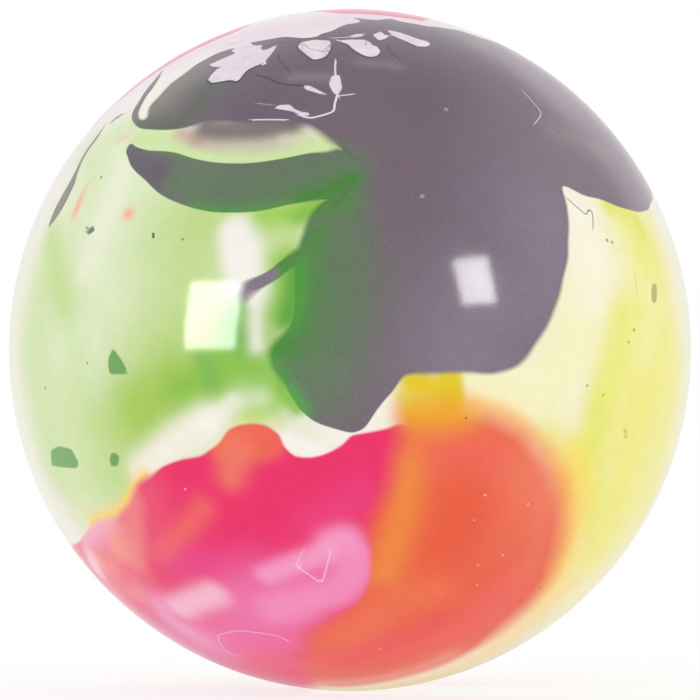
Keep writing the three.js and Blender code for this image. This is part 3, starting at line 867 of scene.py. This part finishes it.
class Nodes:
    def __init__(self, tree):
        self.tree = tree
        tree.nodes.clear()

    def add(self, kind, settings, sockets, output=0):
        node = self.tree.nodes.new(kind)
        for name, value in settings.items():
            setattr(node, name, value)
        for name, value in sockets.items():
            if isinstance(value, Socket):
                self.tree.links.new(value.output, node.inputs[name])
            else:
                node.inputs[name].default_value = value
        return Socket(self, node.outputs[output]) if node.outputs else node

    def value(self, name):
        return self.add("ShaderNodeAttribute", {"attribute_name": name}, {}, "Fac")

    def coat(self, name):
        return self.add("ShaderNodeAttribute", {"attribute_name": name}, {}, "Color")

    def place(self):
        return self.add("ShaderNodeTexCoord", {}, {}, "Object")

    def ray(self, kind):
        return self.add("ShaderNodeLightPath", {}, {}, kind)

    def step(self, value, low, high):
        sockets = {"Value": value, "From Min": low, "From Max": high}
        return self.add("ShaderNodeMapRange", {"interpolation_type": "SMOOTHSTEP"}, sockets)

    def blend(self, under, over, mask, how="MIX"):
        settings = {"data_type": "RGBA", "blend_type": how}
        return self.add("ShaderNodeMix", settings, {0: mask, 6: under, 7: over}, 2)

    def noise(self, size, detail=2.0, stretch=(1, 1, 1)):
        # size is that of one patch, in mm
        spot = self.add("ShaderNodeMapping", {}, {"Vector": self.place(), "Scale": stretch})
        sockets = {"Vector": spot, "Scale": 1 / (size * mm), "Detail": detail}
        return self.add("ShaderNodeTexNoise", {}, sockets)

    def bump(self, height, depth):
        sockets = {"Strength": 1.0, "Distance": depth * mm, "Height": height}
        return self.add("ShaderNodeBump", {}, sockets)

    def surface(self, sockets):
        shader = self.add("ShaderNodeBsdfPrincipled", {}, sockets)
        self.add("ShaderNodeOutputMaterial", {}, {"Surface": shader})


def newFinish(name):
    material = bpy.data.materials.new(name)
    material.use_nodes = True
    return material, Nodes(material.node_tree)


def opaque(name):
    return (*shadeOf(name), 1.0)


polishedCover = {
    "roughness": 0.09,
    "refraction": 1.5,
    "chipStrength": 0.92,
    "lineEdge": (0.3, 1.6),  # squares of half widths over which a line fades
    "speckEdge": (0.5, 1.4),  # radii over which a speck fades
    "flakePatch": (1.5, 0.75, 0.35),  # mm across, least strength of the flakes' painted reflection, what its brighter patches add
    "grain": (0.22, 0.06, 0.30),  # mm across, strength, what the grey adds
    "cloud": (1.6, 0.10),  # mm across, strength
    "smudge": (9.0, (0.45, 0.75), 0.06),  # mm across, noise over which it comes in, roughness added
    "scuff": (1.2, (0.58, 0.72), 0.05),
    "scuffStretch": (1, 1, 7),
    "dent": 0.008,  # mm, which the next three multiply
    "fineDents": (0.30, 0.35),  # mm across, depth
    "wideDents": (5.0, 2.0),
    "flakeStep": 4.0,
}


def polishedMarble():
    look = polishedCover
    finish, nodes = newFinish("polished marbled cover")

    def within(edge):
        return nodes.step(nodes.value(edge), -1, 1)

    def drawn(across, shows):
        away = nodes.value(across)
        return (1 - nodes.step(away * away, *look["lineEdge"])) * nodes.value(shows)

    # from the lowest up, each a colour and how much of it shows
    grey, flakeWithReflection = within("greyEdge"), within("flakeEdge")
    size, thin, thick = look["flakePatch"]
    layers = [
        (nodes.coat("magentaCoat"), within("magentaEdge")),
        (nodes.coat("orangeCoat"), within("orangeEdge")),
        (nodes.coat("greyCoat"), grey),
        (nodes.coat("chipCoat"), within("chipEdge") * look["chipStrength"]),
        # flakes: raised patches, their pale colour a painted reflection of light from above
        (opaque("flakeWithReflection"), flakeWithReflection * (thin + thick * nodes.noise(size))),
        # dark lines, some of them painted shadows under the flakes
        (opaque("ink"), drawn("darkAcross", "darkShows")),
        # pale lines, four of them painted reflections
        (opaque("scratchAndReflectionWhite"), drawn("paleAcross", "paleShows")),
    ]
    place = nodes.place()
    for radius, shade, strength, middles in placed(specks, rearSpecks):
        fades = [edge * radius * mm for edge in look["speckEdge"]]
        for middle in middles * ballRadius:
            sockets = {0: place, 1: tuple(middle)}
            away = nodes.add("ShaderNodeVectorMath", {"operation": "DISTANCE"}, sockets, "Value")
            layers.append((opaque(shade), (1 - nodes.step(away, *fades)) * strength))
    colour = nodes.coat("paleCoat")
    for over, mask in layers:
        colour = nodes.blend(colour, over, mask)

    size, even, onGrey = look["grain"]
    grain = (nodes.noise(size) - 0.5) * (grey * onGrey + even)
    size, strength = look["cloud"]
    cloud = (nodes.noise(size, 3.0) - 0.5) * strength
    size, comesIn, added = look["smudge"]
    smudge = nodes.step(nodes.noise(size, 4.0), *comesIn) * added
    size, comesIn, added = look["scuff"]
    scuff = nodes.step(nodes.noise(size, 3.0, look["scuffStretch"]), *comesIn) * added
    (fine, fineDepth), (wide, wideDepth) = look["fineDents"], look["wideDents"]
    height = nodes.noise(fine, 3.0) * fineDepth + nodes.noise(wide) * wideDepth
    nodes.surface({
        "Base Color": nodes.blend(colour, 1 + grain + cloud, 1.0, "MULTIPLY"),
        "Roughness": smudge + scuff + look["roughness"],
        "Normal": nodes.bump(height + flakeWithReflection * look["flakeStep"], look["dent"]),
        "IOR": look["refraction"],
    })
    return finish


# The outside is a ball less a slow unevenness, the inside a plain ball one wall further in
unevenness = np.linalg.norm(wobble(outward, *cover["unevenWaves"]) - outward, axis=1)
outside = outward * (ballRadius - cover["unevenness"] * mm * unevenness / unevenness.max())[:, None]
outside *= (1 + flakes["rise"] * mm / ballRadius * np.clip(flakeEdge, 0, 1))[:, None]
outerSkin = closedSkin(outside[:1], outside[1:-1].reshape(-1, cover["turns"], 3), outside[-1:])
innerRadius = ballRadius - cover["wall"] * mm
innerAngles = np.linspace(math.pi, 0, cover["innerRings"] + 1)[1:-1]
innerRows = roundRows(innerAngles, cover["innerTurns"], 0.0) * innerRadius
innerSkin = closedSkin(backPole * innerRadius, innerRows, frontPole * innerRadius)
coverNodes = [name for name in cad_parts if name.startswith(("cover_", "charge_"))]
coverPiece = makePiece(
    "marbled_cover", [outerSkin, innerSkin], coverNodes, polishedMarble()
)
spare = len(innerSkin[0])  # places inside the wall, where the marbling doesn't show
for name, values in coverValues.items():
    padded = np.concatenate([values, np.full(spare, farOutside if name.endswith("Edge") else 0.0)])
    attribute = coverPiece.data.attributes.new(name, "FLOAT", "POINT")
    attribute.data.foreach_set("value", padded)
for name, coat in coverCoats.items():
    padded = np.concatenate([coat, np.tile(shadeOf("cream"), (spare, 1))])
    padded = np.concatenate([padded, np.ones((len(padded), 1))], 1)
    attribute = coverPiece.data.attributes.new(name, "FLOAT_COLOR", "POINT")
    attribute.data.foreach_set("color", padded.ravel())

# The inner cups and the cork ball: profiles turned round the upright axis
turning = {"steps": 60, "turns": 96}
cups = {
    "clearance": 0.3,  # mm between any two pieces
    "wall": 3.5,
    "lipHeight": 3.0,
    "cloud": (6.0, (0.4, 0.8), 0.5),  # mm across, noise over which it comes in, strength
    "roughness": (0.45, 0.15),  # least, what the clouds add
    "dents": (0.6, 0.02),  # mm across, depth
}
cork = {
    "granule": 1.8,  # mm across
    "seam": 0.12,  # share of a granule
    "seamStrength": 0.8,
    "seamDepth": 0.15,  # mm
    "roughness": (0.8, 0.15),  # least, what a granule's tint adds
    "pale": (0.52, 0.29, 0.13, 1),
    "dark": (0.33, 0.16, 0.06, 1),
    "glue": (0.12, 0.05, 0.02, 1),
}


def turned(profile):
    # profile of (radius, height) from pole to pole, carried round: (r cos t, r sin t, h)
    turn = np.arange(turning["turns"]) * 2 * math.pi / turning["turns"]
    out, height = profile[1:-1, 0:1], profile[1:-1, 1:2]
    rows = np.stack([out * np.cos(turn), out * np.sin(turn), height + 0 * turn], -1)
    ends = np.stack([profile[:, 0] * 0, profile[:, 0] * 0, profile[:, 1]], 1)
    return closedSkin(ends[:1], rows, ends[-1:])


def arc(radius, high, low):
    # a circle from one height to another, the way its angle from the top runs
    angle = np.linspace(math.acos(high / radius), math.acos(low / radius), turning["steps"])
    return np.stack([radius * np.sin(angle), radius * np.cos(angle)], 1)


def plainMoulded():
    finish, nodes = newFinish("plain moulded inner")
    size, comesIn, strength = cups["cloud"]
    cloud = nodes.noise(size, 4.0)
    mask = nodes.step(cloud, *comesIn) * strength
    least, more = cups["roughness"]
    dent, depth = cups["dents"]
    nodes.surface({
        "Base Color": nodes.blend(opaque("cream"), opaque("stone"), mask),
        "Roughness": least + more * cloud,
        "Normal": nodes.bump(nodes.noise(dent, 3.0), depth),
    })
    return finish


def corkGranules():
    finish, nodes = newFinish("cork granules")
    granules = {"Vector": nodes.place(), "Scale": 1 / (cork["granule"] * mm)}
    tint = nodes.add("ShaderNodeTexVoronoi", {}, granules, "Color")
    tint = nodes.add("ShaderNodeSeparateColor", {}, {"Color": tint}, "Red")
    seam = nodes.add("ShaderNodeTexVoronoi", {"feature": "DISTANCE_TO_EDGE"}, granules, "Distance")
    seam = 1 - nodes.step(seam, 0.0, cork["seam"])
    colour = nodes.blend(cork["pale"], cork["dark"], tint)
    least, more = cork["roughness"]
    nodes.surface({
        "Base Color": nodes.blend(colour, cork["glue"], seam * cork["seamStrength"]),
        "Roughness": least + more * tint,
        "Normal": nodes.bump(1 - seam, cork["seamDepth"]),
    })
    return finish


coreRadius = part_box("cork_core")[1].z
cupInside = coreRadius + cups["clearance"] * mm
cupOutside = cupInside + cups["wall"] * mm
lipRadius = cupInside + cups["wall"] * mm / 2
half = cups["clearance"] * mm / 2
lipTop = cups["lipHeight"] * mm
lowerProfile = np.concatenate([
    arc(cupInside, -cupInside, lipTop - half),
    [(lipRadius - half, lipTop - half), (lipRadius - half, -half)],
    arc(cupOutside, -half, -cupOutside),
])
upperProfile = np.concatenate([
    arc(cupOutside, cupOutside, half),
    [(lipRadius + half, half), (lipRadius + half, lipTop + half)],
    arc(cupInside, lipTop + half, cupInside),
])
corkProfile = arc(coreRadius, coreRadius, -coreRadius)
cupFinish = plainMoulded()
makePiece("lower_cup", [turned(lowerProfile)], ["inner_cup_lower"], cupFinish)
makePiece("upper_cup", [turned(upperProfile)], ["inner_cup_upper"], cupFinish)
makePiece("cork_ball", [turned(corkProfile)], ["cork_core"], corkGranules())

# White studio: a glowing floor, white behind and at the sides, a dim room in front, two softboxes
studio = {
    "ambient": 1.06,  # light from all round, as matt surfaces get it
    "roomInFront": 0.25,  # the room as gloss shows it
    "roomBehind": 0.86,
    "roomTurns": (-0.45, 0.25),  # how far back a direction points where the first turns to the second
    "overhead": 0.85,  # share of the room's light that is left straight up
    "overheadFades": (0.1, 0.9),
    "floorReach": 3.0,
    "floorRings": 12,
    "floorTurns": 48,
    "floorGlow": 1.10,
    "floorSeen": 1.02,  # the glow as the lens sees it
    "floorMirrored": 0.66,  # the floor close to the ball, as gloss shows it, dimmer there as a painted shadow of the ball
    "mirrorFades": (0.038, 0.058),  # metres from the ball over which it turns to the room's level
    "floorShine": 0.75,  # share of the floor that glows, the rest takes the ball's shadow
    "mattShade": (0.9, 0.9, 0.9, 1),
    "mattRoughness": 0.9,
    "softboxes": [  # name, pixel of its highlight, metres away, width, height, radiance
        ("left softbox", (209, 315), 0.6, 0.20, 0.22, 15.0),
        ("right softbox", (478, 279), 0.6, 0.13, 0.155, 15.0),
    ],
}


def roomLevel(nodes, way):
    # how bright the room is in a direction: dim in front, white at the sides and behind
    dim, white = studio["roomInFront"], studio["roomBehind"]
    backward = nodes.add("ShaderNodeSeparateXYZ", {}, {"Vector": way}, "Y")
    return dim + nodes.step(backward, *studio["roomTurns"]) * (white - dim)


def mirroredRay(nodes):
    return nodes.step(nodes.ray("Is Glossy Ray") + nodes.ray("Is Transmission Ray"), 0, 1)


def paleFloor():
    finish, nodes = newFinish("white studio floor")
    place = nodes.place()
    away = nodes.add("ShaderNodeVectorMath", {"operation": "LENGTH"}, {0: place}, "Value")
    way = nodes.add("ShaderNodeVectorMath", {"operation": "NORMALIZE"}, {0: place})
    near, glow = studio["floorMirrored"], studio["floorGlow"]
    # painted shadow: gloss sees the floor dimmer close to the ball
    mirrored = near + nodes.step(away, *studio["mirrorFades"]) * (roomLevel(nodes, way) - near)
    level = glow + mirroredRay(nodes) * (mirrored - glow)
    level = level + nodes.ray("Is Camera Ray") * (studio["floorSeen"] - glow)
    matt = {"Base Color": studio["mattShade"], "Roughness": studio["mattRoughness"]}
    matt = nodes.add("ShaderNodeBsdfPrincipled", {}, matt)
    white = nodes.add("ShaderNodeEmission", {}, {"Color": (1, 1, 1, 1), "Strength": level})
    mixed = nodes.add("ShaderNodeMixShader", {}, {0: studio["floorShine"], 1: matt, 2: white})
    nodes.add("ShaderNodeOutputMaterial", {}, {"Surface": mixed})
    return finish


def floorDisc():
    # rings that widen with the square of their number, round one flat face
    rings, turns = studio["floorRings"], studio["floorTurns"]
    turn = np.arange(turns) * 2 * math.pi / turns
    reach = studio["floorReach"] * (np.arange(1, rings + 1)[:, None] / rings) ** 2
    level = np.full((rings, turns), -ballRadius)
    points = np.stack([reach * np.cos(turn), reach * np.sin(turn), level], -1)
    here = np.arange((rings - 1) * turns).reshape(-1, turns)
    beside = np.roll(here, -1, 1)
    quads = np.stack([here, here + turns, beside + turns, beside], -1).reshape(-1, 4)
    return points.reshape(-1, 3).tolist(), quads.tolist() + [list(range(turns))]


floorPoints, floorFaces = floorDisc()
floorMesh = bpy.data.meshes.new("floor")
floorMesh.from_pydata(floorPoints, [], floorFaces)
floorMesh.materials.append(paleFloor())
floor = bpy.data.objects.new("floor", floorMesh)
bpy.context.scene.collection.objects.link(floor)

world = bpy.data.worlds.new("white studio")
world.use_nodes = True
bpy.context.scene.world = world
air = Nodes(world.node_tree)
way = air.add("ShaderNodeTexCoord", {}, {}, "Generated")
rise = air.add("ShaderNodeSeparateXYZ", {}, {"Vector": way}, "Z")
overhead = air.step(rise, *studio["overheadFades"]) * (1 - studio["overhead"])
room = roomLevel(air, way) * (1 - overhead)
strength = studio["ambient"] + mirroredRay(air) * (room - studio["ambient"])
strength = strength + air.ray("Is Camera Ray") * (1 - strength)
sky = air.add("ShaderNodeBackground", {}, {"Color": (1, 1, 1, 1), "Strength": strength})
air.add("ShaderNodeOutputWorld", {}, {"Surface": sky})

for name, pixel, distance, wide, high, radiance in studio["softboxes"]:
    # a highlight at a pixel shows what lies in the mirrored direction: 2 (n . v) n - v
    normal = onFace([pixel])[0]
    toCamera = frontPole[0]
    mirrored = 2 * (normal @ toCamera) * normal - toCamera
    lamp = bpy.data.lights.new(name, "AREA")
    lamp.shape = "RECTANGLE"
    lamp.size, lamp.size_y = wide, high
    lamp.energy = radiance * math.pi * wide * high
    softbox = bpy.data.objects.new(name, lamp)
    softbox.location = (normal * ballRadius + mirrored * distance).tolist()
    softbox.rotation_mode = "QUATERNION"
    softbox.rotation_quaternion = Vector((-mirrored).tolist()).to_track_quat("-Z", "Y")
    softbox.visible_camera = False
    softbox.visible_diffuse = False
    bpy.context.scene.collection.objects.link(softbox)
print("studio lit by", len(studio["softboxes"]), "softboxes")

lens = bpy.data.cameras.new("camera")
frameReach = math.tan(edgeRay) * picture["width"] / 2 / picture["ballEdge"]
lens.sensor_width = picture["sensor"] / mm
lens.lens = picture["sensor"] / mm / 2 / frameReach
camera = bpy.data.objects.new("camera", lens)
camera.location = (0, -picture["distance"], 0)
camera.rotation_euler = (math.radians(90), 0, 0)
bpy.context.scene.collection.objects.link(camera)
bpy.context.scene.camera = camera
bpy.context.scene.view_settings.view_transform = "Standard"
